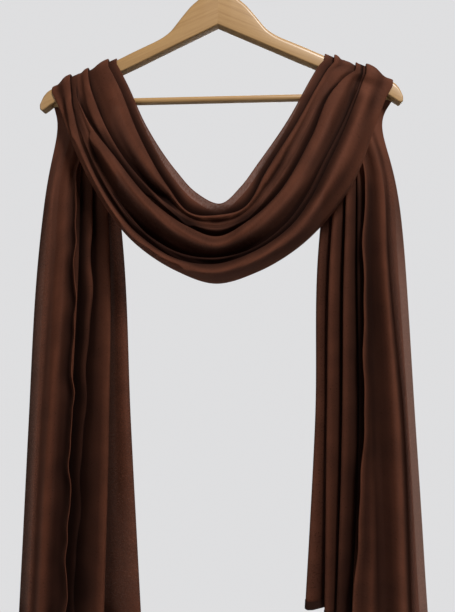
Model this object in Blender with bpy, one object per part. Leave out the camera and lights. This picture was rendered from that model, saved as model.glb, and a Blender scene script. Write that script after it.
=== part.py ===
# A dupatta stole hung over a wooden clothes hanger, at rest.
# All sizes below are millimetres. Objects are built in metres, +Z up, the front faces -Y.
# The origin is the bearing point of the hook, under the top of its loop.
import math

import bpy
import numpy as np

MM = 0.001

# Hanger
HANGER_HALF_THICKNESS = 6.5
ARM_TOP_CROWN = 7.02
ARM_BOTTOM_CROWN = 2.0
CROWN_STRETCH = 1.08
BAR_RADIUS = 4.2
BAR_HEIGHT = -196.1
BAR_GAP = 0.3
BAR_SIDES = 16
HOOK_WIRE_RADIUS = 1.75
HOOK_LOOP_RADIUS = 21.75
HOOK_STEM_FOOT = -78.0
HOOK_SIDES = 10
HOOK_HOLE_GAP = 0.3

# Half outline of the wooden body, mirrored about the middle.
# columns: distance from the middle, height of the top edge, height of the bottom edge
HANGER_OUTLINE = [
    (0.0, -64.8, -107.5),
    (9.0, -65.0, -111.6),
    (16.0, -66.2, -114.8),
    (23.0, -73.6, -118.0),
    (33.0, -82.2, -122.5),
    (41.5, -91.8, -126.4),
    (50.0, -102.3, -130.2),
    (57.0, -110.8, -133.5),
    (64.5, -116.9, -136.9),
    (74.0, -122.4, -141.2),
    (86.0, -127.8, -146.8),
    (105.0, -136.2, -155.4),
    (125.0, -145.4, -164.2),
    (150.0, -155.4, -175.0),
    (175.0, -165.6, -185.5),
    (195.0, -173.8, -193.9),
    (206.0, -178.6, -199.5),
    (213.0, -183.8, -204.5),
    (217.3, -190.3, -206.6),
    (219.4, -196.3, -205.0),
]
ARM_END = 206.0
ARM_SLOPE = -0.41

# Cloth
WALL = 1.0
CLOTH_CLEARANCE = 0.3
WRAP_DRIFT = 4.0
SEAM_GAP = 0.3
HEM_DEPTH = 7.0
TAIL_LENGTH = 680.0
FLAT_STEP = 0.7
DROP_RUN = 3.0
MIDDLE_STACK = (0.45, 0.7)
FRONT_SEAM = 0.965
FRONT_SEAM_GAP = 0.004
BACK_SEAM_DROP = 9.0

# Front swag: a row for each station from the left arm as seen (-1) to the right arm (1).
# columns: station, neckline x and z, bottom edge x and z, stand-off from the hanger,
# spacing of the layers, height of the bottom roll as a share of the stack
SWAG_STATIONS = [
    (-1.00, -123.5, -153.2, -203.5, -185.8, 0.0, 1.35, 0.9),
    (-0.93, -118.0, -163.0, -196.0, -202.0, 0.0, 1.45, 0.9),
    (-0.85, -110.1, -178.5, -186.4, -226.4, 0.6, 1.7, 0.9),
    (-0.60, -86.2, -230.3, -151.3, -301.4, 4.0, 2.4, 0.85),
    (-0.30, -48.5, -287.2, -90.0, -378.4, 8.0, 3.4, 0.8),
    (-0.15, -25.9, -312.0, -48.1, -405.0, 9.5, 3.8, 0.8),
    (0.00, 3.6, -326.2, -1.4, -420.5, 10.0, 4.0, 0.8),
    (0.15, 27.9, -306.6, 47.4, -406.9, 9.5, 3.8, 0.8),
    (0.30, 48.0, -279.4, 91.2, -381.6, 8.0, 3.4, 0.8),
    (0.60, 85.3, -225.0, 158.1, -305.6, 4.0, 2.4, 0.85),
    (0.85, 111.7, -176.8, 189.6, -227.1, 0.6, 1.7, 0.9),
    (0.93, 120.2, -162.6, 199.3, -202.0, 0.0, 1.45, 0.9),
    (1.00, 127.5, -154.7, 207.0, -187.2, 0.0, 1.35, 0.9),
]

# Rim of each pleat as a share of the way from the neckline to the bottom edge.
# columns: one for each station of SWAG_STATIONS
PLEAT_RIM = {
    "A": (0.12, 0.12, 0.12, 0.13, 0.22, 0.25, 0.14, 0.235, 0.18, 0.19, 0.225, 0.22, 0.22),
    "L": (0.48, 0.48, 0.474, 0.43, 0.36, 0.38, 0.30, 0.36, 0.33, 0.27, 0.29, 0.33, 0.36),
    "B": (0.72, 0.70, 0.645, 0.521, 0.481, 0.467, 0.433, 0.443, 0.41, 0.28, 0.325, 0.38, 0.42),
    "C": (0.79, 0.78, 0.765, 0.80, 0.81, 0.79, 0.704, 0.73, 0.71, 0.55, 0.55, 0.53, 0.52),
    "D": (0.80, 0.795, 0.80, 0.863, 0.853, 0.87, 0.78, 0.79, 0.79, 0.617, 0.594, 0.57, 0.56),
}

# How far each pleat tucks under, from its rim down to its hidden fold.
# columns: one for each station of SWAG_STATIONS
PLEAT_TUCK = {
    "A": (7.0, 7.5, 9.0, 14.0, 18.0, 20.0, 24.0, 20.0, 20.0, 14.0, 8.0, 6.0, 5.0),
    "L": (7.0, 7.5, 8.0, 8.0, 2.5, 0.0, 0.0, 0.0, 0.0, 0.0, 0.0, 0.0, 0.0),
    "B": (0.0, 1.5, 5.0, 14.0, 20.0, 22.0, 23.0, 22.0, 20.0, 16.0, 8.5, 6.0, 5.0),
    "C": (0.0, 0.0, 0.0, 4.0, 6.0, 9.0, 12.0, 11.0, 12.0, 8.0, 4.5, 1.0, 0.0),
    "D": (6.0, 7.0, 8.0, 9.0, 10.0, 9.0, 14.0, 12.0, 13.0, 12.0, 8.0, 6.5, 5.5),
}
PLEATS = ("A", "L", "B", "C", "D")

# Where the turned-under layer ends, as a share of the way up to the neckline.
TURNED_UNDER_END = 0.42

# Folds of a tail from its inner edge to its outer turn, then the turned-under layer in front.
# columns: x and depth y at the three levels, half width of the fold's crown
TAIL_LEVELS = (-379.0, -589.0, -825.0)
LEFT_TAIL_FOLDS = {
    "inner_edge": (-119.2, 14, -110.1, 16, -97.3, 18, 0.0),
    "A_tuck": (-122.6, 6, -114.5, 4, -105.3, 2, 1.6),
    "A_rim": (-135.4, 22, -134.0, 24, -139.1, 26, 2.5),
    "L_tuck": (-143.7, 4, -146.9, 2, -154.4, 2, 4.5),
    "L_rim": (-159.0, 20, -168.8, 22, -178.5, 22, 2.5),
    "B_tuck": (-165.6, 8, -174.5, 4, -186.1, 6, 2.0),
    "B_rim": (-175.0, 22, -185.0, 20, -197.0, 20, 2.5),
    "C_tuck": (-188.5, 16, -199.0, 18, -208.2, 20, 3.0),
    "C_rim": (-200.2, 34, -212.4, 38, -221.9, 40, 3.0),
    "D_tuck": (-209.3, 18, -222.5, 20, -231.2, 22, 3.0),
    "D_rim": (-220.2, 30, -233.9, 34, -244.5, 36, 3.0),
    "turn": (-227.6, 12, -242.1, 14, -254.8, 16, 3.0),
    "under_1": (-216.0, 1, -227.2, -2, -238.7, -4, 0.0),
    "under_2": (-207.7, 9, -218.2, 8, -229.2, 6, 0.0),
    "under_3": (-190.4, -3, -202.4, -6, -215.4, -8, 0.0),
    "under_4": (-181.0, 7, -190.0, 6, -202.1, 6, 0.0),
    "outer_edge": (-172.1, -1, -179.7, -4, -188.8, -5, 0.0),
}
RIGHT_TAIL_FOLDS = {
    "inner_edge": (121.2, 16, 117.1, 18, 105.0, 16, 0.0),
    "A_tuck": (126.5, 6, 123.5, 6, 114.9, 4, 1.6),
    "A_rim": (135.9, 18, 131.6, 18, 127.0, 18, 1.8),
    "L_tuck": (143.7, 4, 139.6, 2, 134.8, 2, 1.8),
    "L_rim": (151.5, 18, 148.6, 18, 142.2, 18, 1.8),
    "B_tuck": (159.0, 4, 157.5, 2, 149.1, 2, 1.8),
    "B_rim": (168.2, 20, 169.6, 20, 160.6, 20, 2.5),
    "C_tuck": (177.7, 18, 182.8, 20, 176.8, 22, 3.0),
    "C_rim": (189.1, 34, 197.4, 38, 195.3, 40, 3.0),
    "D_tuck": (200.8, 20, 208.6, 22, 213.5, 24, 3.0),
    "D_rim": (212.1, 34, 224.8, 36, 236.2, 38, 3.0),
    "turn": (224.9, 14, 239.2, 16, 254.8, 18, 3.0),
    "under_1": (213.0, 1, 226.4, -1, 238.8, -2, 0.0),
    "under_2": (205.5, 9, 220.6, 9, 231.1, 9, 0.0),
    "under_3": (197.6, -2, 212.5, -4, 221.9, -6, 0.0),
    "under_4": (184.0, 7, 190.0, 8, 193.8, 8, 0.0),
    "outer_edge": (173.1, -1, 173.3, -4, 163.4, -6, 0.0),
}
# How far the outer turn draws in under the arm, and how far below the seam it does so most.
TAIL_WAIST = {-1: 8.0, 1: 15.0}
WAIST_DROP = 35.0
# Height of the hem at the inner edge, at the outer turn and at the outer edge in front.
LEFT_HEM = (-846.0, -862.0, -852.0)
RIGHT_HEM = (-815.5, -868.0, -843.0)

# Grid rows
SWAG_ROWS = 27
SHOULDER_ROWS = 6
TAIL_ROWS = 12

# Colours: (r, g, b), roughness
WOOD = ((0.47, 0.30, 0.16), 0.45)
BAR_WOOD = ((0.42, 0.27, 0.14), 0.45)
STEEL = ((0.62, 0.62, 0.61), 0.28)
CHIFFON = ((0.035, 0.016, 0.010), 0.75)
CHIFFON_SHOULDER = ((0.040, 0.019, 0.012), 0.75)
CHIFFON_TAIL = ((0.045, 0.022, 0.014), 0.75)
CHIFFON_HEM = ((0.020, 0.010, 0.007), 0.8)


def ease(x):
    """0 below 0, 1 above 1, smooth between."""
    x = min(1.0, max(0.0, x))
    return x * x * (3.0 - 2.0 * x)


def through(x, xs, ys):
    """Smooth curve through the rows ys at xs, read at x."""
    xs = np.asarray(xs, float)
    ys = np.asarray(ys, float)
    i = int(np.clip(np.searchsorted(xs, x) - 1, 0, len(xs) - 2))

    def slope(k):
        if k == 0:
            return (ys[1] - ys[0]) / (xs[1] - xs[0])
        if k == len(xs) - 1:
            return (ys[-1] - ys[-2]) / (xs[-1] - xs[-2])
        before = (ys[k] - ys[k - 1]) / (xs[k] - xs[k - 1])
        after = (ys[k + 1] - ys[k]) / (xs[k + 1] - xs[k])
        left = xs[k] - xs[k - 1]
        right = xs[k + 1] - xs[k]
        return (before * right + after * left) / (left + right)

    span = xs[i + 1] - xs[i]
    t = (x - xs[i]) / span
    a = ys[i]
    b = ys[i + 1]
    ma = slope(i) * span
    mb = slope(i + 1) * span
    return (
        (2 * t**3 - 3 * t**2 + 1) * a
        + (t**3 - 2 * t**2 + t) * ma
        + (3 * t**2 - 2 * t**3) * b
        + (t**3 - t**2) * mb
    )


def arm_top(x):
    """Height of the top line of an arm at the distance x from the middle."""
    xs = [row[0] for row in HANGER_OUTLINE]
    tops = [row[1] for row in HANGER_OUTLINE]
    return float(np.interp(min(abs(x), ARM_END), xs, tops)) + max(0.0, abs(x) - ARM_END) * ARM_SLOPE


def wrap_centre(x):
    return arm_top(x) - HANGER_HALF_THICKNESS * CROWN_STRETCH


BASE_RADIUS = HANGER_HALF_THICKNESS + CLOTH_CLEARANCE + WALL / 2


def swag_section(f):
    """Section across the front swag at the station f, as rows of distance from the neckline,
    and stand-off from the innermost layer."""
    stations = [row[0] for row in SWAG_STATIONS]
    values = through(f, stations, [row[1:] for row in SWAG_STATIONS])
    rib = math.hypot(values[2] - values[0], values[3] - values[1])
    step = values[5]
    rim = {k: float(through(f, stations, PLEAT_RIM[k])) * rib for k in PLEATS}
    tuck = {k: max(0.0, float(through(f, stations, PLEAT_TUCK[k]))) for k in PLEATS}
    base = step
    reach = {k: min(0.35 * step + 0.4, 0.35 * tuck[k]) for k in PLEATS}
    outwards = ease((abs(f) - MIDDLE_STACK[0]) / (MIDDLE_STACK[1] - MIDDLE_STACK[0]))
    fold = {k: ease((tuck[k] - 1.2) / 3.8) for k in PLEATS}
    entry = {k: rim[k] - 1.5 * fold[k] - (2.5 * FLAT_STEP + 0.4) * (1.0 - fold[k]) for k in PLEATS}
    entry["roll"] = rib - 3.0

    def stacked(zone_end, following):
        return max(1.0 - outwards, 1.0 - ease((entry[following] - zone_end - 2.3) / DROP_RUN))

    # Height of each pleat on the stack of the pleats before it.
    low = {}
    high = {}
    share = {}
    reached = {}
    level = base
    zone_end = 0.0
    for n, k in enumerate(PLEATS):
        if n:
            share[k] = stacked(zone_end, k)
            level = base + (level - base) * share[k]
        low[k] = level
        level += 2 * step * ease(tuck[k] / 2.5) * (1.0 + 1.6 * fold[k] * (1.0 - fold[k]))
        high[k] = level
        zone_end = max(zone_end, rim[k] + max(tuck[k], 2.5 * FLAT_STEP))
        reached[k] = zone_end
    share["roll"] = stacked(zone_end, "roll")
    low["roll"] = base + (level - base) * share["roll"]

    points = [(0.0, base), (0.5 * rim["A"] + 1.0, base)]
    for n, k in enumerate(PLEATS):
        middle = 0.5 * (low[k] + high[k])
        split = 0.25 * (middle - low[k]) * (1.0 - fold[k])
        deep = rim[k] + tuck[k]
        folded = [
            (deep - reach[k], low[k]),
            (deep, 0.5 * (low[k] + middle)),
            (deep - reach[k], middle - split),
            (rim[k] + reach[k], middle + split),
            (rim[k], 0.5 * (middle + high[k])),
            (rim[k] + reach[k], high[k]),
        ]
        for m, (u, w) in enumerate(folded):
            flat_u = rim[k] + FLAT_STEP * (m - 2.5)
            points.append((flat_u + (u - flat_u) * fold[k], w))
        start = points[-1][0]
        following = PLEATS[n + 1] if n + 1 < len(PLEATS) else "roll"
        if following == "roll":
            end = rib - 1.6
        else:
            next_deep = rim[following] + tuck[following] - reach[following]
            flat_u = rim[following] - 2.5 * FLAT_STEP
            end = flat_u + (next_deep - flat_u) * fold[following]
        crossing = max(reached[k] + 2.0, start + 0.4)
        under = max(entry[following], crossing + 0.3)
        drop = abs(high[k] - low[following]) / step
        close = 1.0 - ease(8.0 * drop)
        crossing += (start + (end - start) / 3.0 - crossing) * close
        under += (start + (end - start) * 2.0 / 3.0 - under) * close
        points.append((crossing, high[k]))
        points.append((under, low[following]))

    # Bottom roll and the turned-under layer behind.
    top = low["roll"]
    points += [(rib - 1.2, values[6] * top), (rib, 0.5 * top), (rib - 1.2, 0.0)]
    end = rib * (1.0 - TURNED_UNDER_END)
    for m in range(1, 5):
        points.append((rib - 1.2 + (end - rib + 1.2) * m / 5.0, 0.0))
    points.append((end, 0.0))
    return np.array(points), values


def place_front(f):
    """The section at the station f, in front of the hanger."""
    section, v = swag_section(f)
    rib = math.hypot(v[2] - v[0], v[3] - v[1])
    x = v[0] + (v[2] - v[0]) * section[:, 0] / rib
    z = v[1] + (v[3] - v[1]) * section[:, 0] / rib
    y = -(BASE_RADIUS + section[:, 1]) - v[4]
    return np.stack([x, y, z], axis=1)


def place_wrap(side, angle):
    """The end section carried round an arm: angle 0 in front, pi behind."""
    section, v = swag_section(float(side))
    rib = math.hypot(v[2] - v[0], v[3] - v[1])
    x = v[0] + (v[2] - v[0]) * section[:, 0] / rib + side * WRAP_DRIFT * angle / math.pi
    radius = BASE_RADIUS + section[:, 1]
    y = -radius * math.cos(angle)
    z = np.array([wrap_centre(a) for a in x]) + CROWN_STRETCH * radius * math.sin(angle)
    return np.stack([x, y, z], axis=1)


def tail_section(folds, level, side):
    """Section of a tail at one of the three levels, with the points of swag_section."""
    rows = {k: (v[2 * level], v[2 * level + 1], v[6]) for k, v in folds.items()}
    names = list(rows)
    points = []

    def crown(name, sign):
        x, y, half = rows[name]
        return [
            (x - side * half, y + sign * 0.45 * half),
            (x, y),
            (x + side * half, y + sign * 0.45 * half),
        ]

    points.append(rows["inner_edge"][:2])
    first = crown("A_tuck", 1)
    x, y, _ = rows["inner_edge"]
    points.append(((x + first[0][0]) / 2, (y + first[0][1]) / 2))
    for n, k in enumerate(PLEATS):
        points += crown(k + "_tuck", 1)
        points += crown(k + "_rim", -1)
        start = points[-1]
        if n + 1 < len(PLEATS):
            end = crown(PLEATS[n + 1] + "_tuck", 1)[0]
        else:
            end = (rows["turn"][0] - side * 1.0, rows["turn"][1] + rows["turn"][2])
        for share in (1 / 3, 2 / 3):
            points.append((start[0] + (end[0] - start[0]) * share, start[1] + (end[1] - start[1]) * share))
    x, y, half = rows["turn"]
    points += [(x - side * 1.0, y + half), (x, y), (x - side * 1.0, y - half)]
    for name in names[names.index("turn") + 1 :]:
        points.append(rows[name][:2])
    return np.array(points)


def tail_rows(side, folds, hem, shares):
    """Rows of a tail at the given shares of its height, from the seam behind the arm down."""
    top = place_wrap(side, math.pi)
    top[:, 2] -= BACK_SEAM_DROP
    inner, turn, outer = hem
    samples = len(top)
    turn_at = samples - 7
    place = np.arange(samples)
    bottom = np.interp(place, [0, turn_at, samples - 1], [inner, turn, outer])
    sections = [tail_section(folds, level, side) for level in range(3)]
    grid = np.zeros((len(shares), samples, 3))
    for j in range(samples):
        heights = [-top[j, 2]] + [-h for h in TAIL_LEVELS]
        values = [top[j, :2]] + [s[j] for s in sections]
        for i, share in enumerate(shares):
            z = top[j, 2] + (bottom[j] - top[j, 2]) * share
            grid[i, j, :2] = through(-z, heights, values)
            grid[i, j, 2] = z
            down = share * (top[j, 2] - bottom[j]) / WAIST_DROP
            waist = (down * math.exp(1.0 - down)) ** 1.5
            outward = (top[j, 0] - top[0, 0]) / (top[turn_at, 0] - top[0, 0])
            grid[i, j, 0] -= side * TAIL_WAIST[side] * waist * outward
    return grid


def add_mesh(name, points, faces, material_made):
    mesh = bpy.data.meshes.new(name)
    mesh.from_pydata([tuple(p) for p in np.asarray(points) * MM], [], faces)
    mesh.polygons.foreach_set("use_smooth", [True] * len(mesh.polygons))
    mesh.update()
    obj = bpy.data.objects.new(name, mesh)
    bpy.context.scene.collection.objects.link(obj)
    obj.data.materials.append(material_made)
    return obj


def material(name, look, metallic=0.0):
    colour, roughness = look
    made = bpy.data.materials.new(name)
    made.use_nodes = True
    shader = made.node_tree.nodes["Principled BSDF"]
    shader.inputs["Base Color"].default_value = (*colour, 1.0)
    shader.inputs["Roughness"].default_value = roughness
    shader.inputs["Metallic"].default_value = metallic
    return made


def unit(v):
    length = np.linalg.norm(v, axis=-1, keepdims=True)
    return v / np.maximum(length, 1e-9)


def cloth(name, grid, material_made):
    """A closed wall round the grid of rows and samples."""
    along = np.gradient(grid, axis=0)
    across = np.zeros_like(grid)
    steps = grid[:, 1:] - grid[:, :-1]
    across[:, 0] = steps[:, 0]
    across[:, -1] = steps[:, -1]
    across[:, 1:-1] = unit(steps[:, :-1]) + unit(steps[:, 1:])
    normal = unit(np.cross(unit(across), unit(along)))
    front = grid + normal * WALL / 2
    back = grid - normal * WALL / 2
    rows, samples, _ = grid.shape
    points = np.concatenate([front.reshape(-1, 3), back.reshape(-1, 3)])
    shift = rows * samples

    def at(i, j, side):
        return side * shift + i * samples + j

    faces = []
    for i in range(rows - 1):
        for j in range(samples - 1):
            faces.append((at(i, j, 0), at(i, j + 1, 0), at(i + 1, j + 1, 0), at(i + 1, j, 0)))
            faces.append((at(i, j, 1), at(i + 1, j, 1), at(i + 1, j + 1, 1), at(i, j + 1, 1)))
    for i in range(rows - 1):
        last = samples - 1
        faces.append((at(i, 0, 0), at(i + 1, 0, 0), at(i + 1, 0, 1), at(i, 0, 1)))
        faces.append((at(i, last, 0), at(i, last, 1), at(i + 1, last, 1), at(i + 1, last, 0)))
    for j in range(samples - 1):
        end = rows - 1
        faces.append((at(0, j, 0), at(0, j, 1), at(0, j + 1, 1), at(0, j + 1, 0)))
        faces.append((at(end, j, 0), at(end, j + 1, 0), at(end, j + 1, 1), at(end, j, 1)))
    return closed_outwards(add_mesh(name, points, faces, material_made))


def closed_outwards(obj):
    """Turns the faces of a closed mesh outwards."""
    mesh = obj.data
    mesh.calc_loop_triangles()
    volume = 0.0
    for tri in mesh.loop_triangles:
        a, b, c = (mesh.vertices[v].co for v in tri.vertices)
        volume += a.dot(b.cross(c))
    if volume < 0:
        mesh.flip_normals()
    return obj


def ring_solid(name, rings, material_made):
    """A closed solid through rings with the same number of points."""
    points = [p for ring in rings for p in ring]
    size = len(rings[0])
    faces = []
    for i in range(len(rings) - 1):
        for j in range(size):
            k = (j + 1) % size
            faces.append((i * size + j, i * size + k, (i + 1) * size + k, (i + 1) * size + j))
    faces.append(tuple(range(size - 1, -1, -1)))
    last = (len(rings) - 1) * size
    faces.append(tuple(range(last, last + size)))
    return closed_outwards(add_mesh(name, points, faces, material_made))


def hanger_ring(x, top, bottom):
    """Section of the wooden body at x: a crowned top and softly rounded bottom edges."""
    half = HANGER_HALF_THICKNESS
    height = top - bottom
    crown = min(ARM_TOP_CROWN, 0.45 * height)
    foot = min(ARM_BOTTOM_CROWN, 0.2 * height)
    ring = []
    for n in range(7):
        angle = math.pi * n / 6
        ring.append((x, -half * math.cos(angle), top - crown + crown * math.sin(angle)))
    ring.append((x, half, bottom + foot))
    ring.append((x, half - 0.6 * foot, bottom + 0.1 * foot))
    ring.append((x, -half + 0.6 * foot, bottom + 0.1 * foot))
    ring.append((x, -half, bottom + foot))
    return ring


def bottom_edge(x):
    xs = [row[0] for row in HANGER_OUTLINE]
    return float(np.interp(abs(x), xs, [row[2] for row in HANGER_OUTLINE]))


def hanger_body(material_made):
    outline = HANGER_OUTLINE
    rows = [(-x, top, bottom) for x, top, bottom in reversed(outline[1:])] + list(outline)
    rings = [hanger_ring(*row) for row in rows]
    return ring_solid("hanger_body", rings, material_made)


def hanger_bar(material_made):
    """The dowel between the arms, cut to the slope of their lower edges."""
    ends = []
    for side in (-1, 1):
        ring = []
        for n in range(BAR_SIDES):
            angle = 2 * math.pi * n / BAR_SIDES
            y = BAR_RADIUS * math.cos(angle)
            z = BAR_HEIGHT + BAR_RADIUS * math.sin(angle)
            x = 150.0
            while bottom_edge(x) > z + BAR_GAP * 1.25:
                x += 0.05
            ring.append((side * x, y, z))
        ends.append(ring)
    return ring_solid("hanger_bar", ends, material_made)


def hook_path():
    """Centre line of the hook: a stem, a short reverse bend and an open loop."""
    path = [(0.0, HOOK_STEM_FOOT), (0.0, -60.0), (0.0, -52.0)]
    centre = HOOK_WIRE_RADIUS - HOOK_LOOP_RADIUS
    start = math.radians(-62)
    stop = math.radians(205)
    first = (HOOK_LOOP_RADIUS * math.cos(start), centre + HOOK_LOOP_RADIUS * math.sin(start))
    for share in (0.35, 0.7):
        bend = ease(share)
        path.append((first[0] * bend, -52.0 + (first[1] + 52.0) * share))
    for n in range(23):
        angle = start + (stop - start) * n / 22
        path.append((HOOK_LOOP_RADIUS * math.cos(angle), centre + HOOK_LOOP_RADIUS * math.sin(angle)))
    return path


def hook(material_made):
    path = np.array(hook_path())
    tangent = unit(np.gradient(path, axis=0))
    rings = []
    for n, ((x, z), (tx, tz)) in enumerate(zip(path, tangent)):
        radius = HOOK_WIRE_RADIUS if n < len(path) - 1 else 0.6 * HOOK_WIRE_RADIUS
        ring = []
        for k in range(HOOK_SIDES):
            angle = 2 * math.pi * k / HOOK_SIDES
            out = radius * math.cos(angle)
            ring.append((x + tz * out, radius * math.sin(angle), z - tx * out))
        rings.append(ring)
    return ring_solid("hanger_hook", rings, material_made)


def cut_hook_hole(body):
    """Drills the hole that the hook's stem stands in."""
    radius = HOOK_WIRE_RADIUS + HOOK_HOLE_GAP
    rings = []
    for z in (HOOK_STEM_FOOT - HOOK_HOLE_GAP, -50.0):
        ring = []
        for k in range(HOOK_SIDES):
            angle = 2 * math.pi * k / HOOK_SIDES
            ring.append((radius * math.cos(angle), radius * math.sin(angle), z))
        rings.append(ring)
    cutter = ring_solid("hook_hole", rings, body.data.materials[0])
    cutter.hide_render = True
    cutter.hide_viewport = True
    cut = body.modifiers.new("hook_hole", "BOOLEAN")
    cut.operation = "DIFFERENCE"
    cut.solver = "EXACT"
    cut.object = cutter


def main():
    for obj in list(bpy.data.objects):
        bpy.data.objects.remove(obj, do_unlink=True)

    body = hanger_body(material("wood", WOOD))
    cut_hook_hole(body)
    hanger_bar(material("bar_wood", BAR_WOOD))
    hook(material("steel", STEEL, 1.0))

    front = material("chiffon_front", CHIFFON)
    shoulder = material("chiffon_shoulder", CHIFFON_SHOULDER)
    tail = material("chiffon_tail", CHIFFON_TAIL)
    hem_look = material("chiffon_hem", CHIFFON_HEM)

    spread = np.linspace(-1.0, 1.0, SWAG_ROWS)
    stations = FRONT_SEAM * (0.45 * spread + 0.55 * np.sin(0.5 * math.pi * spread))
    cloth("stole_front_swag", np.array([place_front(f) for f in stations]), front)

    for side, label in ((-1, "left"), (1, "right")):
        rows = [place_front(side * (FRONT_SEAM + FRONT_SEAM_GAP)), place_front(side * 0.985)]
        for n in range(SHOULDER_ROWS + 1):
            rows.append(place_wrap(side, math.pi * n / SHOULDER_ROWS))
        last = rows[-1].copy()
        last[:, 2] -= BACK_SEAM_DROP - SEAM_GAP
        rows.append(last)
        cloth("stole_" + label + "_shoulder", np.array(rows), shoulder)

        folds = LEFT_TAIL_FOLDS if side < 0 else RIGHT_TAIL_FOLDS
        hem = LEFT_HEM if side < 0 else RIGHT_HEM
        cut = 1.0 - HEM_DEPTH / TAIL_LENGTH
        shares = [cut * (n / (TAIL_ROWS - 1)) ** 1.5 for n in range(TAIL_ROWS)]
        cloth("stole_" + label + "_tail", tail_rows(side, folds, hem, shares), tail)
        shares = [cut + SEAM_GAP / TAIL_LENGTH, 1.0]
        cloth("hem_" + label, tail_rows(side, folds, hem, shares), hem_look)


main()
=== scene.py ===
# The looks of a dupatta stole hung over a wooden clothes hanger.
# Sizes in the tables are millimetres, objects are built in metres, +Z up, the front faces -Y.
import math

import bpy
import numpy as np
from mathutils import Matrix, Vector


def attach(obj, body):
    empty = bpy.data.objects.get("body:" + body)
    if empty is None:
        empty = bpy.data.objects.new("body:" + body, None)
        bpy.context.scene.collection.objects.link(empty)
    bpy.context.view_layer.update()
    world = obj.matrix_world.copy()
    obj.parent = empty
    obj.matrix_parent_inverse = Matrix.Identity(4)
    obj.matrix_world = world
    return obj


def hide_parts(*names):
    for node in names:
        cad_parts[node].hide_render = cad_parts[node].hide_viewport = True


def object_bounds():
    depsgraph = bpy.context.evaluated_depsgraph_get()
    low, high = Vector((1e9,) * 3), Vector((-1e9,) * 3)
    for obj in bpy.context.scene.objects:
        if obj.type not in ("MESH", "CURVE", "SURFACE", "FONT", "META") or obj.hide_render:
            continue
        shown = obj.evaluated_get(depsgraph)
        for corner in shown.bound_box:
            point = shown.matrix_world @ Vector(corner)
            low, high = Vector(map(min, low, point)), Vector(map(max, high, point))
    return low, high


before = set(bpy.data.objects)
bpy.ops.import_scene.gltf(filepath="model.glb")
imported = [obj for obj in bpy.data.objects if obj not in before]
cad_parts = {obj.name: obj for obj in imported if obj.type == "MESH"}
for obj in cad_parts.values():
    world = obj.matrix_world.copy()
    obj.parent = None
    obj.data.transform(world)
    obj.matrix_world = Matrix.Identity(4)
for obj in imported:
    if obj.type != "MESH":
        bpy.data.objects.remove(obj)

cad_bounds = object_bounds()

MM = 0.001

# Camera of the photograph: level, turned a little to the left
CAMERA_PLACE = (0.04985, -0.64886, -0.447)
CAMERA_TURN_DEG = 3.4
CAMERA_LENS = 31.44
CAMERA_SENSOR_WIDTH = 36.0
CAMERA_CLIP = (0.05, 20.0)

# Stage, in metres. columns of LIGHTS: name, place, place it points at, size, power, colour
LIGHTS = [
    ("key", (0.80, -1.25, 1.15), (0.0, 0.0, -0.42), 0.6, 64.0, (1.0, 0.97, 0.93)),
    ("back", (0.35, 1.75, 0.35), (0.0, 0.0, -0.42), 1.6, 30.0, (1.0, 0.98, 0.96)),
    ("fill", (-1.4, -1.4, 0.1), (0.0, 0.0, -0.45), 1.2, 6.0, (1.0, 0.98, 0.96)),
]
BACKDROP_COLOUR = (0.735, 0.735, 0.745, 1.0)
AROUND_COLOUR = (1.0, 0.98, 0.96, 1.0)
AROUND_STRENGTH = 0.11
FLOOR_COLOUR = (0.78, 0.78, 0.78, 1.0)
FLOOR_RADIUS = 0.66
FLOOR_SIDES = 96
FLOOR_DROP = 0.38

# Hanger
HANGER_HALF_THICKNESS = 6.5
ARM_TOP_CROWN = 7.02
ARM_BOTTOM_CROWN = 2.0
CROWN_STRETCH = 1.08
GLUE_HALF_GAP = 0.03
BAR_RADIUS = 4.2
BAR_HEIGHT = -196.1
BAR_GAP = 0.3
HOOK_WIRE_RADIUS = 1.75
HOOK_LOOP_RADIUS = 21.75
HOOK_LOOP_DEG = (-62, 205)
HOOK_STEM_FOOT = -78.0
HOOK_STEM_TOP = -52.0

# Half outline of the wooden body, mirrored about the middle.
# columns: distance from the middle, height of the top edge, height of the bottom edge
HANGER_OUTLINE = [
    (0.0, -64.8, -107.5),
    (9.0, -65.0, -111.6),
    (16.0, -66.2, -114.8),
    (23.0, -73.6, -118.0),
    (33.0, -82.2, -122.5),
    (41.5, -91.8, -126.4),
    (50.0, -102.3, -130.2),
    (57.0, -110.8, -133.5),
    (64.5, -116.9, -136.9),
    (74.0, -122.4, -141.2),
    (86.0, -127.8, -146.8),
    (105.0, -136.2, -155.4),
    (125.0, -145.4, -164.2),
    (150.0, -155.4, -175.0),
    (175.0, -165.6, -185.5),
    (195.0, -173.8, -193.9),
    (206.0, -178.6, -199.5),
    (213.0, -183.8, -204.5),
    (217.3, -190.3, -206.6),
    (219.4, -196.3, -205.0),
]
ARM_END = 206.0
ARM_SLOPE = -0.41

# Cloth over the arms
BASE_RADIUS = 7.3
WRAP_DRIFT = 4.0
BACK_SEAM_DROP = 9.0
ROLLED_EDGE_RADIUS = 0.7

# Layers of the swag: spacing of the samples of a pleat that has run out
FLAT_STEP = 0.7
# Way over which the stack comes down after a pleat, the share that stays in the middle of the
# swag, and the stations between which that share runs out
DROP_RUN = 7.0
KEPT_STACK = 0.45
MIDDLE_STACK = (0.5, 0.85)
# How much further apart the layers lie in the middle, and how much less the swag stands off
MIDDLE_FULLNESS = 0.4
MIDDLE_DRAW_IN = 0.5
# How far a free face bulges after its rim, and how far it sinks before the next one.
PUFF = 3.2
SINK = 2.4
# How far the bottom edge is rounded
ROLL_SHOULDER = 1.2

# Painted shade of the hollows between folds, put into the colour of the cloth: at a rim, and the
# share that stays where the cloth is seen from behind too
RIM_SHADE = 0.92
BOTH_SIDES_SHADE = 0.88
# Reach across the folds, and the depth that counts as a deep valley
SWAG_HOLLOW = (10.0, 3.6)
TAIL_HOLLOW = (19.0, 4.5)
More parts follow.
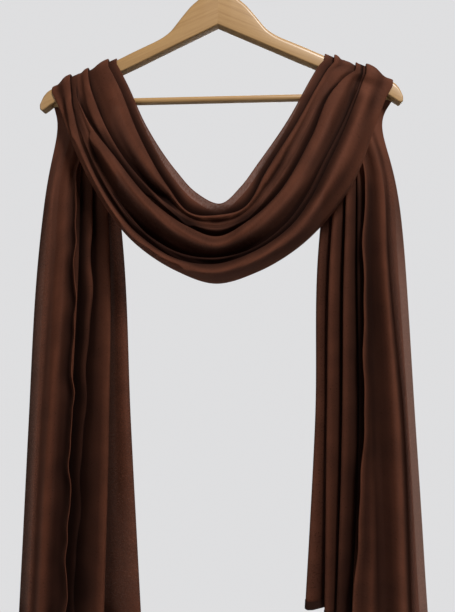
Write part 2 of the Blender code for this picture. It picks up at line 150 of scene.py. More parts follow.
# The painted shade fades out over this way to the bottom edge of the swag.
BOTTOM_FADE = 14.0
# A place is covered where another layer lies this far in front of it.
COVER_DISTANCE = 0.8
COVER_MARGIN = 3
# Passes that soften the covered parts: axis and reach in grid points
COVER_BLUR = ((0, 12), (0, 12), (1, 1), (1, 1))

# Front swag: a row for each station from the left arm as seen (-1) to the right arm (1).
# columns: station, neckline x and z, bottom edge x and z, stand-off from the hanger,
# spacing of the layers, height of the bottom roll as a share of the stack
SWAG_STATIONS = [
    (-1.00, -123.5, -153.2, -203.5, -185.8, 0.0, 1.35, 0.9),
    (-0.93, -118.0, -163.0, -196.0, -202.0, 0.0, 1.45, 0.9),
    (-0.85, -110.1, -178.5, -186.4, -226.4, 0.6, 1.7, 0.9),
    (-0.60, -86.2, -230.3, -151.3, -301.4, 4.0, 2.4, 0.85),
    (-0.30, -48.5, -287.2, -90.0, -378.4, 8.0, 3.4, 0.8),
    (-0.15, -25.9, -312.0, -48.1, -405.0, 9.5, 3.8, 0.8),
    (0.00, 3.6, -326.2, -1.4, -420.5, 10.0, 4.0, 0.8),
    (0.15, 27.9, -306.6, 47.4, -406.9, 9.5, 3.8, 0.8),
    (0.30, 48.0, -279.4, 91.2, -381.6, 8.0, 3.4, 0.8),
    (0.60, 85.3, -225.0, 158.1, -305.6, 4.0, 2.4, 0.85),
    (0.85, 111.7, -176.8, 189.6, -227.1, 0.6, 1.7, 0.9),
    (0.93, 120.2, -162.6, 199.3, -202.0, 0.0, 1.45, 0.9),
    (1.00, 127.5, -154.7, 207.0, -187.2, 0.0, 1.35, 0.9),
]

# Rim of each pleat as a share of the way from the neckline to the bottom edge.
# columns: one for each station of SWAG_STATIONS
PLEAT_RIM = {
    "A": (0.113, 0.112, 0.11, 0.135, 0.213, 0.27, 0.155, 0.25, 0.157, 0.105, 0.119, 0.126, 0.128),
    "L": (0.425, 0.471, 0.49, 0.46, 0.38, 0.36, 0.30, 0.35, 0.31, 0.22, 0.22, 0.25, 0.29),
    "B": (0.60, 0.68, 0.69, 0.545, 0.477, 0.445, 0.427, 0.43, 0.425, 0.335, 0.32, 0.38, 0.445),
    "C": (0.65, 0.725, 0.76, 0.80, 0.81, 0.784, 0.69, 0.735, 0.72, 0.584, 0.60, 0.585, 0.55),
    "D": (0.70, 0.765, 0.824, 0.89, 0.88, 0.87, 0.775, 0.79, 0.785, 0.645, 0.64, 0.625, 0.595),
}

# How far each pleat tucks under, from its rim down to its hidden fold.
# columns: one for each station of SWAG_STATIONS
PLEAT_TUCK = {
    "A": (7.0, 7.5, 9.0, 11.0, 11.0, 11.0, 11.0, 11.0, 11.0, 10.0, 8.0, 6.0, 5.0),
    "L": (7.0, 7.5, 8.0, 7.0, 3.0, 0.0, 0.0, 0.0, 0.0, 0.0, 0.0, 0.0, 0.0),
    "B": (0.0, 1.5, 5.0, 9.0, 11.0, 11.0, 11.0, 11.0, 11.0, 10.0, 8.5, 6.0, 5.0),
    "C": (0.0, 0.0, 0.0, 0.0, 3.0, 4.5, 5.0, 4.5, 5.0, 5.0, 4.5, 1.0, 0.0),
    "D": (6.0, 7.0, 7.0, 5.0, 5.5, 7.0, 9.0, 9.0, 9.0, 9.0, 8.0, 6.5, 5.5),
}
PLEATS = ("A", "L", "B", "C", "D")

# Where the turned-under layer ends, as a share of the way up to the neckline.
# columns: one for each station of SWAG_STATIONS
TURNED_UNDER_END = (
    0.985, 0.985, 0.985, 0.965, 0.91, 0.90, 0.90, 0.91, 0.93, 0.97, 0.985, 0.985, 0.985,
)

# Width of the painted shade in the hollow above each rim. columns: one for each station of
# SWAG_STATIONS
HOLLOW_WIDTH = {
    "A": (1.5, 1.5, 1.5, 2.0, 2.5, 2.5, 2.5, 5.0, 4.5, 3.5, 4.0, 4.0, 3.0),
    "L": (2.0, 3.0, 3.0, 3.0, 3.0, 0.0, 0.0, 0.0, 0.0, 0.0, 0.0, 0.0, 0.0),
    "B": (1.0, 3.0, 5.0, 6.0, 7.0, 6.0, 4.5, 4.0, 7.0, 11.0, 5.0, 1.5, 1.0),
    "C": (0.0, 0.0, 0.0, 0.0, 9.0, 11.0, 10.0, 8.0, 6.0, 3.5, 4.0, 6.0, 4.0),
    "D": (2.5, 3.0, 3.0, 3.0, 3.0, 3.0, 3.0, 4.0, 4.0, 3.0, 2.5, 2.5, 2.0),
}

# How much the broad bottom fold swells. columns: one for each station of SWAG_STATIONS
BOTTOM_SWELL = (0.0, 0.0, 0.5, 1.5, 2.5, 3.0, 3.5, 4.0, 4.5, 5.5, 3.5, 1.0, 0.0)

# Folds of a tail from its inner edge to its outer turn, then the turned-under layer in front.
# columns: x and depth y at the three levels, then the half width of a ridge or valley,
# or less than 0 for the half gap of a fold that turns back on itself
TAIL_LEVELS = (-379.0, -589.0, -825.0)
LEFT_TAIL_FOLDS = {
    "inner_edge": (-146.0, 30, -146.0, 32, -152.0, 36, 0.0),
    "A_tuck": (-118.2, 6, -109.2, 5, -96.5, 4, -2.5),
    "A_rim": (-176.0, 36, -187.0, 38, -201.0, 40, -1.5),
    "L_tuck": (-135.5, 5, -135.8, 4, -141.8, 3, -1.8),
    "L_rim": (-186.0, 22, -198.0, 24, -211.0, 26, -1.5),
    "B_tuck": (-157.3, 4, -167.1, 3.5, -180.4, 3, -1.5),
    "B_rim": (-200.0, 24, -210.0, 26, -222.0, 28, -1.5),
    "C_tuck": (-176.0, 9, -186.0, 9, -198.0, 9, -1.5),
    "C_rim": (-212.0, 24, -223.0, 26, -234.0, 28, -1.5),
    "D_tuck": (-195.0, 11, -206.0, 11, -217.0, 11, -1.5),
    "D_rim": (-220.0, 24, -232.0, 26, -244.0, 28, 3.0),
    "turn": (-229.6, 14, -242.1, 14, -254.8, 16, 3.0),
    "under_1": (-214.8, 1, -224.9, -2, -235.5, -4, 0.0),
    "under_2": (-207.7, 2, -220.2, 0, -232.2, -2, 0.0),
    "under_3": (-192.5, -1, -206.0, -4, -218.4, -6, 0.0),
    "under_4": (-183.3, 6, -191.3, 5, -205.3, 4, 0.0),
    "outer_edge": (-175.4, -3, -179.7, -5, -187.7, -7, 0.0),
}
RIGHT_TAIL_FOLDS = {
    "inner_edge": (142.0, 20, 139.0, 22, 134.0, 22, 0.0),
    "A_tuck": (122.0, 8, 117.9, 8, 105.0, 7, -1.5),
    "A_rim": (160.0, 24, 160.0, 24, 156.0, 24, -1.5),
    "L_tuck": (135.4, 5, 131.2, 5, 128.8, 5, -1.6),
    "L_rim": (176.0, 22, 180.0, 23, 172.0, 24, -1.5),
    "B_tuck": (152.0, 4, 149.5, 3, 142.9, 3, -1.6),
    "B_rim": (192.0, 23, 200.0, 25, 196.0, 26, -1.5),
    "C_tuck": (167.9, 7, 170.3, 7, 161.9, 7, -1.5),
    "C_rim": (206.0, 24, 217.0, 26, 226.0, 28, -1.5),
    "D_tuck": (188.0, 12, 196.0, 12, 206.0, 12, -1.5),
    "D_rim": (216.0, 24, 230.0, 26, 244.0, 28, 3.0),
    "turn": (225.9, 14, 240.2, 16, 255.8, 18, 3.0),
    "under_1": (213.0, 1, 226.6, -1, 239.1, -2, 0.0),
    "under_2": (205.3, 6, 222.8, 5, 232.3, 4, 0.0),
    "under_3": (198.2, -2, 214.1, -4, 222.9, -6, 0.0),
    "under_4": (182.4, 7, 188.6, 7, 193.4, 6, 0.0),
    "outer_edge": (174.5, -3, 174.7, -5, 160.7, -8, 0.0),
}

# How much more light the outer band of each tail lets through, where it hangs in two layers, and
# the first fold at its inner edge.
OUTER_SHEER = {-1: 0.09, 1: 0.27}
INNER_SHEER = {-1: 0.07, 1: 0.02}
# How far the outer turn draws in under the arm, and how far below the seam it does so most.
TAIL_WAIST = {-1: 8.0, 1: 15.0}
WAIST_DROP = 35.0
UNDER_ARM_DROP = 285.0
# How far the flap of the right tail stands out in front, at the foot.
FLAP_HEIGHT = 7.5
# Waves of narrow edges: first and last sample, then the length, height and start of each wave.
EDGE_WAVES = {
    -1: [
        (48, 50, [(118.0, 1.6, 0.4), (61.0, 0.9, 2.0), (37.0, 0.4, 1.1)]),
        (18, 21, [(136.0, 1.5, 2.6), (71.0, 0.8, 0.3)]),
    ],
    1: [(49, 50, [(150.0, 1.0, 0.8), (67.0, 0.5, 1.9)])],
}
# Height of the hem at the inner edge, at the outer turn and at the outer edge in front.
LEFT_HEM = (-846.0, -862.0, -852.0)
RIGHT_HEM = (-811.5, -868.0, -843.0)
HEM_DEPTH = 7.0
TAIL_LENGTH = 680.0

# Grid rows, closer together towards the top of a tail
SWAG_ROWS = 201
WRAP_ROWS = 24
TAIL_ROWS = 221
TAIL_ROW_POWER = 1.3
HEM_ROWS = 5

# Samples of a section: two from the neckline, then six folded ones and two on the open face for
# each pleat, three round the bottom edge or outer turn, and five of the turned-under layer
NECK_SAMPLES = 2
PLEAT_SAMPLES = 8
LAST_FACE = NECK_SAMPLES + PLEAT_SAMPLES * len(PLEATS) - 3
TURN = LAST_FACE + 4
UNDER = LAST_FACE + 6

# Steps between neighbouring samples of a section
NECK_STEPS = (8, 6)
PLEAT_STEPS = (3, 3, 5, 4, 4, 8, 8, 5)
ROLL_STEPS = (4, 4)
UNDER_STEPS = (6, 6, 6, 6, 6)
SECTION_STEPS = NECK_STEPS + PLEAT_STEPS * len(PLEATS) + ROLL_STEPS + UNDER_STEPS

# Fine ripples that run with the folds.
# columns: wavelength across the folds, drift along them, height
SWAG_RIPPLES = [
    (41.0, 0.35, 0.55),
    (23.0, -0.6, 0.40),
    (13.7, 0.9, 0.24),
    (8.3, -1.3, 0.20),
    (5.1, 1.7, 0.12),
]
TAIL_RIPPLES = [
    (37.0, 0.5, 0.7),
    (19.0, -0.8, 0.45),
    (11.0, 1.3, 0.25),
    (6.3, -2.1, 0.12),
]

# Chiffon look. Colours are linear, noise is (scale per metre, detail, roughness).
THREAD_PITCH = 0.0009
CHIFFON_TINT = (0.102, 0.0325, 0.0168)
CLOUD_TONES = (0.86, 1.14)
CHIFFON_DENSITY = 0.87
HEM_TONE = 0.2
HEM_DENSITY = 1.0
SHEEN_TINT = (0.75, 0.48, 0.38, 1.0)
THROUGH_COLOUR = (0.16, 0.055, 0.032, 1.0)
THROUGH_SHARE = 0.22
CLEAR_COLOUR = (1.0, 0.82, 0.74, 1.0)
CRINKLE_NOISE = (900.0, 3.0, 0.6)
CLOUD_NOISE = (28.0, 2.0, 0.5)
MOTTLE_NOISE = (430.0, 2.0, 0.5)
WEAVE_HEIGHT = 0.35
MOTTLE_HEIGHT = 0.8
# Painted shade in a full hollow: its share of the tint, its share of a painted dark dull surface,
# and how far its weave closes
PAINTED_SHADE_TONE = 0.12
PAINTED_SHADE_DARK_MIX = 0.8
PAINTED_SHADE_COLOUR = (0.003, 0.001, 0.001, 1.0)
PAINTED_SHADE_CLOSING = -0.2
# How far the threads close the weave, and how far the mottling opens and closes it
THREAD_CLOSING = -0.10
MOTTLE_OPENING = 0.26

# Wood look. Grain is (scale along, across and through) per metre.
WOOD_LIGHT = (0.345, 0.206, 0.084)
WOOD_DARK = (0.278, 0.156, 0.059)
BAR_TONE = 1.02
FIGURE_GRAIN = (14.0, 420.0, 420.0)
PORE_GRAIN = (120.0, 3200.0, 3200.0)
PORE_SHARE = 0.35
STEEL_COLOUR = (0.66, 0.66, 0.65, 1.0)
STEEL_GRAIN = (60.0, 2500.0, 2500.0)


def ease(x):
    """0 below 0, 1 above 1, smooth between."""
    x = min(1.0, max(0.0, x))
    return x * x * (3.0 - 2.0 * x)


def hermite(t, a, slope_a, b, slope_b):
    """Smooth way from a at t = 0 to b at t = 1, with the given slopes at its ends."""
    return (
        (2 * t**3 - 3 * t**2 + 1) * a
        + (t**3 - 2 * t**2 + t) * slope_a
        + (3 * t**2 - 2 * t**3) * b
        + (t**3 - t**2) * slope_b
    )


def through(x, xs, ys):
    """Smooth curve through the rows ys at xs, read at x."""
    xs = np.asarray(xs, float)
    ys = np.asarray(ys, float)
    i = int(np.clip(np.searchsorted(xs, x) - 1, 0, len(xs) - 2))

    def slope(k):
        if k == 0:
            return (ys[1] - ys[0]) / (xs[1] - xs[0])
        if k == len(xs) - 1:
            return (ys[-1] - ys[-2]) / (xs[-1] - xs[-2])
        before = (ys[k] - ys[k - 1]) / (xs[k] - xs[k - 1])
        after = (ys[k + 1] - ys[k]) / (xs[k + 1] - xs[k])
        left = xs[k] - xs[k - 1]
        right = xs[k + 1] - xs[k]
        return (before * right + after * left) / (left + right)

    span = xs[i + 1] - xs[i]
    return hermite((x - xs[i]) / span, ys[i], slope(i) * span, ys[i + 1], slope(i + 1) * span)


def unit(v):
    return v / np.maximum(np.linalg.norm(v, axis=-1, keepdims=True), 1e-9)


def smooth_across(grid, steps):
    """Each row as a smooth curve through its samples, with steps[j] parts after sample j."""
    before = 2 * grid[:, :1] - grid[:, 1:2]
    after = 2 * grid[:, -1:] - grid[:, -2:-1]
    padded = np.concatenate([before, grid, after], axis=1)
    knots = np.linalg.norm(padded[:, 1:] - padded[:, :-1], axis=2) ** 0.5
    knots = np.maximum(knots, 1e-3)[..., None]
    out = []
    for j, parts in enumerate(steps):
        p0, p1, p2, p3 = (padded[:, j + k] for k in range(4))
        d1, d2, d3 = (knots[:, j + k] for k in range(3))
        m1 = d2 * ((p1 - p0) / d1 - (p2 - p0) / (d1 + d2) + (p2 - p1) / d2)
        m2 = d2 * ((p2 - p1) / d2 - (p3 - p1) / (d2 + d3) + (p3 - p2) / d3)
        out += [hermite(n / parts, p1, m1, p2, m2) for n in range(parts)]
    out.append(grid[:, -1])
    return np.stack(out, axis=1)


def column_starts():
    """Grid column of each sample of a section."""
    return np.concatenate([[0], np.cumsum(SECTION_STEPS)])


def at_station(f, table):
    """A table with one entry for each station of SWAG_STATIONS, read at the station f."""
    return through(f, [row[0] for row in SWAG_STATIONS], table)


def rib_length(values):
    """Distance from the neckline to the bottom edge, from the values of a station."""
    return math.hypot(values[2] - values[0], values[3] - values[1])


def arm_top(x):
    """Height of the top line of an arm at the distance x from the middle."""
    xs = [row[0] for row in HANGER_OUTLINE]
    tops = [row[1] for row in HANGER_OUTLINE]
    distance = np.abs(x)
    beyond = np.maximum(0.0, distance - ARM_END)
    return np.interp(np.minimum(distance, ARM_END), xs, tops) + beyond * ARM_SLOPE


def wrap_centre(x):
    return arm_top(x) - HANGER_HALF_THICKNESS * CROWN_STRETCH


def pleat_levels(f, step, rim, tuck, fold, entry):
    """Stand-off under and over each pleat, on the stack of the pleats before it, and how far from
    the neckline that stack reaches."""
    outwards = ease((abs(f) - MIDDLE_STACK[0]) / (MIDDLE_STACK[1] - MIDDLE_STACK[0]))
    kept = KEPT_STACK * (1.0 - outwards)

    def stacked(zone_end, following):
        """Share of the stack that is still there where the next pleat begins."""
        return kept + (1.0 - kept) * (1.0 - ease((entry[following] - zone_end - 2.3) / DROP_RUN))

    low = {}
    high = {}
    reached = {}
    level = step
    zone_end = 0.0
    for n, k in enumerate(PLEATS):
        if n:
            level = step + (level - step) * stacked(zone_end, k)
        low[k] = level
        level += 2 * step * ease(tuck[k] / 2.5) * (1.0 + 1.6 * fold[k] * (1.0 - fold[k]))
        high[k] = level
        zone_end = max(zone_end, rim[k] + max(tuck[k], 2.5 * FLAT_STEP))
        reached[k] = zone_end
    low["roll"] = step + (level - step) * stacked(zone_end, "roll")
    return low, high, reached


def folded_samples(rim, tuck, bend, fold, low, high, step):
    """Six samples of a pleat: round its hidden fold, then round its rim."""
    middle = 0.5 * (low + high)
    split = 0.25 * (middle - low) * (1.0 - fold)
    deep = rim + tuck
    swell = 0.35 * step * fold
    folded = [
        (deep - bend, low),
        (deep, 0.5 * (low + middle)),
        (deep - bend, middle - split),
        (rim + bend, middle + split),
        (rim, 0.5 * (middle + high + swell)),
        (rim + bend, high + swell),
    ]
    points = []
    for m, (u, w) in enumerate(folded):
        flat_u = rim + FLAT_STEP * (m - 2.5)
        points.append((flat_u + (u - flat_u) * fold, w))
    return points


def swag_section(f):
    """Section across the front swag at the station f, as rows of distance from the neckline and
    stand-off from the innermost layer, and the station's values."""
    values = at_station(f, [row[1:] for row in SWAG_STATIONS])
    rib = rib_length(values)
    middle_share = ease((0.8 - abs(f)) / 0.5)
    values[4] *= 1.0 - MIDDLE_DRAW_IN * middle_share
    values[5] *= 1.0 + MIDDLE_FULLNESS * middle_share
    step = values[5]
    rim = {k: float(at_station(f, PLEAT_RIM[k])) * rib for k in PLEATS}
    rim["roll"] = rib
    tuck = {k: max(0.0, float(at_station(f, PLEAT_TUCK[k]))) for k in PLEATS}
    # 1 where a pleat is folded in full, 0 where it has run out
    fold = {k: ease((tuck[k] - 1.2) / 3.8) for k in PLEATS}
    bend = {k: min(0.35 * step + 0.4, 0.35 * tuck[k]) for k in PLEATS}
    # Where the open face before a pleat goes under its rim
    entry = {k: rim[k] - 1.5 * fold[k] - (2.5 * FLAT_STEP + 0.4) * (1.0 - fold[k]) for k in PLEATS}
    entry["roll"] = rib - 3.0
    low, high, reached = pleat_levels(f, step, rim, tuck, fold, entry)
    # Towards the arms the open faces lie flat.
    gentle = 0.85 * ease((abs(f) - 0.75) / 0.2)

    points = [(0.0, step), (0.5 * rim["A"] + 1.0, step)]
    for k, following in zip(PLEATS, PLEATS[1:] + ("roll",)):
        points += folded_samples(rim[k], tuck[k], bend[k], fold[k], low[k], high[k], step)
        start = points[-1][0]
        if following == "roll":
            end = rib - 1.6
        else:
            next_deep = rim[following] + tuck[following] - bend[following]
            next_flat = rim[following] - 2.5 * FLAT_STEP
            end = next_flat + (next_deep - next_flat) * fold[following]
        crossing = max(reached[k] + 2.0, start + 0.4)
        under = max(entry[following], crossing + 0.3)
        drop = abs(high[k] - low[following]) / step
        close = max(1.0 - ease(2.0 * drop), gentle)
        if k == PLEATS[0]:
            close = max(close, 0.75 * middle_share)
        crossing += (start + (end - start) / 3.0 - crossing) * close
        under += (start + (end - start) * 2.0 / 3.0 - under) * close
        full = ease((rim[following] - rim[k]) / 30.0) * ease(step / 3.0) * (1.0 - gentle)
        swell = 0.0
        sunk = -SINK * full * close
        if following == "roll":
            swell = float(at_station(f, BOTTOM_SWELL))
            sunk = 0.6 * swell
        points.append((crossing, high[k] + PUFF * full + swell))
        points.append((under, low[following] + sunk))

    # Bottom edge and the turned-under layer behind
    top = low["roll"]
    shoulder = rib - ROLL_SHOULDER
    points += [(shoulder, values[6] * top), (rib, 0.5 * top), (shoulder, 0.0)]
    end = rib * (1.0 - float(at_station(f, TURNED_UNDER_END)))
    points += [(shoulder + (end - shoulder) * m / 5.0, 0.0) for m in range(1, 5)]
    points.append((end, 0.0))
    return np.array(points), values


def hollows(outward, across, reach, depth):
    """How deep each place of a row lies in a hollow between folds: 0 on a ridge, 1 in a deep
    valley. The depth is painted as shade into the colour of the cloth."""
    found = np.zeros(outward.shape)
    for i, (w, u) in enumerate(zip(outward, across)):
        near = np.exp(-(((u[:, None] - u[None, :]) / reach) ** 2))
        rise = np.maximum(0.0, (w[None, :] - w[:, None]) * near).max(axis=1)
        found[i] = 1.0 - np.exp(-rise / depth)
    return found


def covered(outward, across):
    """True where another layer of the same row lies well in front."""
    found = np.zeros(outward.shape, bool)
    for i, (w, u) in enumerate(zip(outward, across)):
        low = np.minimum(u[:-1], u[1:])
        high = np.maximum(u[:-1], u[1:])
        layer = np.minimum(w[:-1], w[1:])
        at = u[:, None]
        in_front = layer > w[:, None] + COVER_DISTANCE
        found[i] = ((at >= low) & (at <= high) & in_front).any(axis=1)
    wide = np.pad(found, ((0, 0), (COVER_MARGIN, COVER_MARGIN)), mode="edge")
    shifts = range(2 * COVER_MARGIN + 1)
    return np.min([wide[:, k : k + found.shape[1]] for k in shifts], axis=0)


def front_share(outward, across):
    """Share of the painted hollow shade that stays: all in front, less where a place is seen from
    behind too, none where only the back shows."""
    both = np.where(covered(-outward, across), 1.0, BOTH_SIDES_SHADE)
    share = np.where(covered(outward, across), 0.0, both)
    for axis, reach in COVER_BLUR:
        pads = [(reach, reach) if k == axis else (0, 0) for k in range(2)]
        wide = np.pad(share, pads, mode="edge")
        size = share.shape[axis]
        shifts = range(2 * reach + 1)
        share = np.mean([wide.take(range(k, k + size), axis) for k in shifts], axis=0)
    return share


def rim_shade(places, fine, values):
    """Painted shade of the hollow above the rim of each pleat, where one layer goes under the next.
    """
    columns = column_starts()
    shade = np.zeros(fine.shape[:2])
    for i, ((f, _), v) in enumerate(zip(places, values)):
        for n, k in enumerate(PLEATS):
            width = float(at_station(f, HOLLOW_WIDTH[k]))
            if width < 0.3:
                continue
            rim = float(at_station(f, PLEAT_RIM[k])) * rib_length(v)
            first = NECK_SAMPLES + PLEAT_SAMPLES * n
            near = slice(columns[max(0, first - 3)], columns[first + 4])
            away = np.maximum(0.0, rim - fine[i, near, 0]) / width
            dark = RIM_SHADE * ease(width / 3.0) * np.exp(-away * away)
            shade[i, near] = np.maximum(shade[i, near], dark)
    return shade


def ripples(table, across, along, seed):
    """Height of the fine ripples at places across and along the folds."""
    phases = np.random.default_rng(seed).uniform(0.0, 2.0 * math.pi, (len(table), 3))
    total = np.zeros(np.broadcast(across, along).shape)
    for (wavelength, drift, height), (a, b, c) in zip(table, phases):
        swell = 0.6 + 0.4 * np.sin(2.3 * along + b)
        bend = 0.8 * np.sin(3.1 * along * drift + c)
        turn = 2 * math.pi * across / wavelength + drift * 4.0 * along + bend + a
        total += height * swell * np.sin(turn)
    return total


def place_section(section, v, angle, side):
    """A section at its place: in front of the hanger at angle 0, carried round an arm up to pi."""
    rib = rib_length(v)
    x = v[0] + (v[2] - v[0]) * section[:, 0] / rib + side * WRAP_DRIFT * angle / math.pi
    radius = BASE_RADIUS + section[:, 1]
    if angle == 0.0 and side == 0:
        z = v[1] + (v[3] - v[1]) * section[:, 0] / rib
        return np.stack([x, -radius - v[4], z], axis=1)
    z = wrap_centre(x) + CROWN_STRETCH * radius * math.sin(angle)
    return np.stack([x, -radius * math.cos(angle), z], axis=1)


def swag_places():
    """Station and angle round an arm of each row, from behind the left arm to behind the right."""
    spread = np.linspace(-1.0, 1.0, SWAG_ROWS)
    stations = 0.45 * spread + 0.55 * np.sin(0.5 * math.pi * spread)
    places = [(-1.0, angle) for angle in np.linspace(math.pi, 0.0, WRAP_ROWS + 1)[:-1]]
    places += [(f, 0.0) for f in stations]
    places += [(1.0, angle) for angle in np.linspace(0.0, math.pi, WRAP_ROWS + 1)[1:]]
    return places


def swag_shade(places, fine, values):
    """Painted shade of the hollows at each place of the swag."""
    across, outward = fine[..., 0], fine[..., 1]
    deep = hollows(outward, across, *SWAG_HOLLOW)
    shade = np.maximum(deep, rim_shade(places, fine, values)) * front_share(outward, across)
    columns = column_starts()
    bottom = slice(columns[LAST_FACE], columns[UNDER])
    ribs = np.array([rib_length(v) for v in values])[:, None]
    shade[:, bottom] *= np.clip((ribs - across[:, bottom]) / BOTTOM_FADE, 0.0, 1.0)
    return shade


def swag_grid():
    """The swag and both shoulders, from the seam behind the left arm to the one behind the right
    arm, and the painted shade of the hollows."""
    places = swag_places()
    sections, values = zip(*[swag_section(f) for f, _ in places])
    fine = smooth_across(np.array(sections), SECTION_STEPS)
    along = np.array([f + math.copysign(angle * 0.03, f) for f, angle in places])[:, None]
    # The ripples shrink with the spacing of the layers.
    depth = np.array([v[5] for v in values])[:, None] / 4.0
    fine[..., 1] += depth * ripples(SWAG_RIPPLES, fine[..., 0], along, 3)
    rows = []
    for (f, angle), section, v in zip(places, fine, values):
        side = 0 if angle == 0.0 else int(math.copysign(1, f))
        rows.append(place_section(section, v, angle, side))
    shade = swag_shade(places, fine, values)
    shade = np.concatenate([shade[:1], shade, shade[-1:]])
    drop = np.array([0.0, 0.0, BACK_SEAM_DROP])
    return np.array([rows[0] - drop] + rows + [rows[-1] - drop]), shade


def tail_section(folds, level, side):
    """Section of a tail at one of the three levels, with as many samples as swag_section."""
    rows = {k: (v[2 * level], v[2 * level + 1], v[6]) for k, v in folds.items()}
    names = list(rows)

    def crown(name, sign):
        """Three samples round a valley (sign 1) or a ridge (sign -1)."""
        x, y, half = rows[name]
        if half < 0:
            open_side = sign * side * -2.0 * half
            return [(x + open_side, y - half), (x, y), (x + open_side, y + half)]
        return [
            (x - side * half, y + sign * 0.45 * half),
            (x, y),
            (x + side * half, y + sign * 0.45 * half),
        ]

    x, y, half = rows["turn"]
    turn = [(x - side, y + half), (x, y), (x - side, y - half)]
    x, y, _ = rows["inner_edge"]
    first = crown("A_tuck", 1)[0]
    points = [(x, y), ((x + first[0]) / 2, (y + first[1]) / 2)]
    for n, k in enumerate(PLEATS):
        points += crown(k + "_tuck", 1)
        points += crown(k + "_rim", -1)
        x, y = points[-1]
        end = crown(PLEATS[n + 1] + "_tuck", 1)[0] if n + 1 < len(PLEATS) else turn[0]
        for share in (1 / 3, 2 / 3):
            points.append((x + (end[0] - x) * share, y + (end[1] - y) * share))
    points += turn
    points += [rows[name][:2] for name in names[names.index("turn") + 1 :]]
    return np.array(points)


def coarse_tail(side, folds, hem, shares):
    """Samples of a tail, a row for each of the given shares of its height."""
    top = place_section(*swag_section(float(side)), math.pi, side)
    top[:, 2] -= BACK_SEAM_DROP
    samples = len(top)
    bottom = np.interp(np.arange(samples), [0, TURN, samples - 1], hem)
    sections = [tail_section(folds, level, side) for level in range(len(TAIL_LEVELS))]

    def drop_levels(j):
        return [-top[j, 2]] + [-h for h in TAIL_LEVELS]

    # One more level under the arm, where the folds already lie over each other as they do below
    inner_fold = NECK_SAMPLES + 1
    ends = [
        through(UNDER_ARM_DROP, drop_levels(j), [top[j, :2]] + [s[j] for s in sections])[0]
        for j in (inner_fold, TURN)
    ]
    highest = sections[0]
    gather = (ends[1] - ends[0]) / (highest[TURN, 0] - highest[inner_fold, 0])
    under_x = ends[0] + (highest[:, 0] - highest[inner_fold, 0]) * gather
    under_arm = np.stack([under_x, 0.6 * highest[:, 1] + 0.4 * top[:, 1]], axis=1)
    grid = np.zeros((len(shares), samples, 3))
    for j in range(samples):
        heights = drop_levels(j)
        heights.insert(1, UNDER_ARM_DROP)
        values = [top[j, :2], under_arm[j]] + [s[j] for s in sections]
        outward = (top[j, 0] - top[0, 0]) / (top[TURN, 0] - top[0, 0])
        for i, share in enumerate(shares):
            z = top[j, 2] + (bottom[j] - top[j, 2]) * share
            grid[i, j, :2] = through(-z, heights, values)
            grid[i, j, 2] = z
            down = share * (top[j, 2] - bottom[j]) / WAIST_DROP
            waist = (down * math.exp(1.0 - down)) ** 1.5
            grid[i, j, 0] -= side * TAIL_WAIST[side] * waist * outward
    return grid


def tail_sheer(side, share, count):
    """How much more light each place of a tail lets through."""
    columns = column_starts()
    column = np.arange(count)
    outer = np.minimum(column - columns[LAST_FACE], columns[UNDER + 1] - column) / 4.0
    inner_band = columns[NECK_SAMPLES], columns[NECK_SAMPLES + 3]
    inner = np.minimum(column - inner_band[0] + 4, inner_band[1] + 4 - column) / 6.0
    band = OUTER_SHEER[side] * np.clip(outer, 0.0, 1.0)
    band = band + INNER_SHEER[side] * np.clip(inner, 0.0, 1.0)
    below_arm = np.clip(share * 4.0 - 0.4, 0.0, 1.0)
    above_hem = np.clip((1.0 - share) * 14.0, 0.0, 1.0)
    return band[None, :] * (below_arm * above_hem)


def tail_grid(side, folds, hem, shares, top_row):
    """Rows of a tail at the given shares of its height, from top_row down to the hem, the painted
    shade of its hollows and how much more light it lets through."""
    grid = coarse_tail(side, folds, hem, shares)
    share = np.array(shares)[:, None]
    # Folds move freely only below the arm.
    free = np.clip(share * 5.0, 0.0, 1.0) ** 2
    heights = grid[:, -1, 2]
    for first, last, waves in EDGE_WAVES[side]:
        wave = sum(h * np.sin(2.0 * math.pi * heights / length + turn) for length, h, turn in waves)
        grid[:, first:last, 0] += free * wave[:, None]
    fine = smooth_across(grid, SECTION_STEPS)
    if side > 0:
        flap = np.exp(-(((np.arange(-6, 1) + 4.2) / 1.3) ** 2))
        fine[:, -7:, 1] -= FLAP_HEIGHT * flap[None, :] * np.clip((share - 0.5) / 0.4, 0.0, 1.0)
    runs = np.linalg.norm(np.diff(fine[:, :, :2], axis=1), axis=2)
    across = np.concatenate([[0.0], np.cumsum(runs, axis=1).mean(axis=0)])[None, :]
    fine[..., 1] += free * ripples(TAIL_RIPPLES, across, 2.2 * share, 11 + side)
    fine[..., 0] += 0.5 * free * ripples(TAIL_RIPPLES, across + 50.0, 2.2 * share, 21 + side)
    # Painted shade from the depth of the hollows, less in the sheer bands
    shade = hollows(-fine[..., 1], fine[..., 0], *TAIL_HOLLOW) * free
    shade *= front_share(-fine[..., 1], fine[..., 0])
    sheer = tail_sheer(side, share, fine.shape[1])
    shade = shade * (1.0 - np.clip(3.5 * sheer, 0.0, 0.8))
    # The first rows run into the seam behind the arm.
    blend = np.clip(1.0 - share * 40.0, 0.0, 1.0)[..., None]
    return fine + (top_row - fine[0]) * blend, shade, sheer


def with_rolled_edges(grid):
    """The grid with both long edges rolled over into a narrow hem."""
    along = unit(np.gradient(grid, axis=0))
    sides = []
    for edge, inner in ((0, 1), (-1, -2)):
        outward = unit(grid[:, edge] - grid[:, inner])
        normal = unit(np.cross(outward, along[:, edge])) * (1 if edge == 0 else -1)
        curl = []
        for n in range(1, 8):
            angle = math.radians(42 * n)
            radius = ROLLED_EDGE_RADIUS * (1.0 - 0.05 * n)
            way = outward * math.sin(angle) + normal * (1 - math.cos(angle))
            curl.append(grid[:, edge] + radius * way)
        sides.append(curl)
    before = np.stack(sides[0][::-1], axis=1)
    after = np.stack(sides[1], axis=1)
    return np.concatenate([before, grid, after], axis=1)


def add_object(name, data):
    obj = bpy.data.objects.new(name, data)
    bpy.context.scene.collection.objects.link(obj)
    return obj


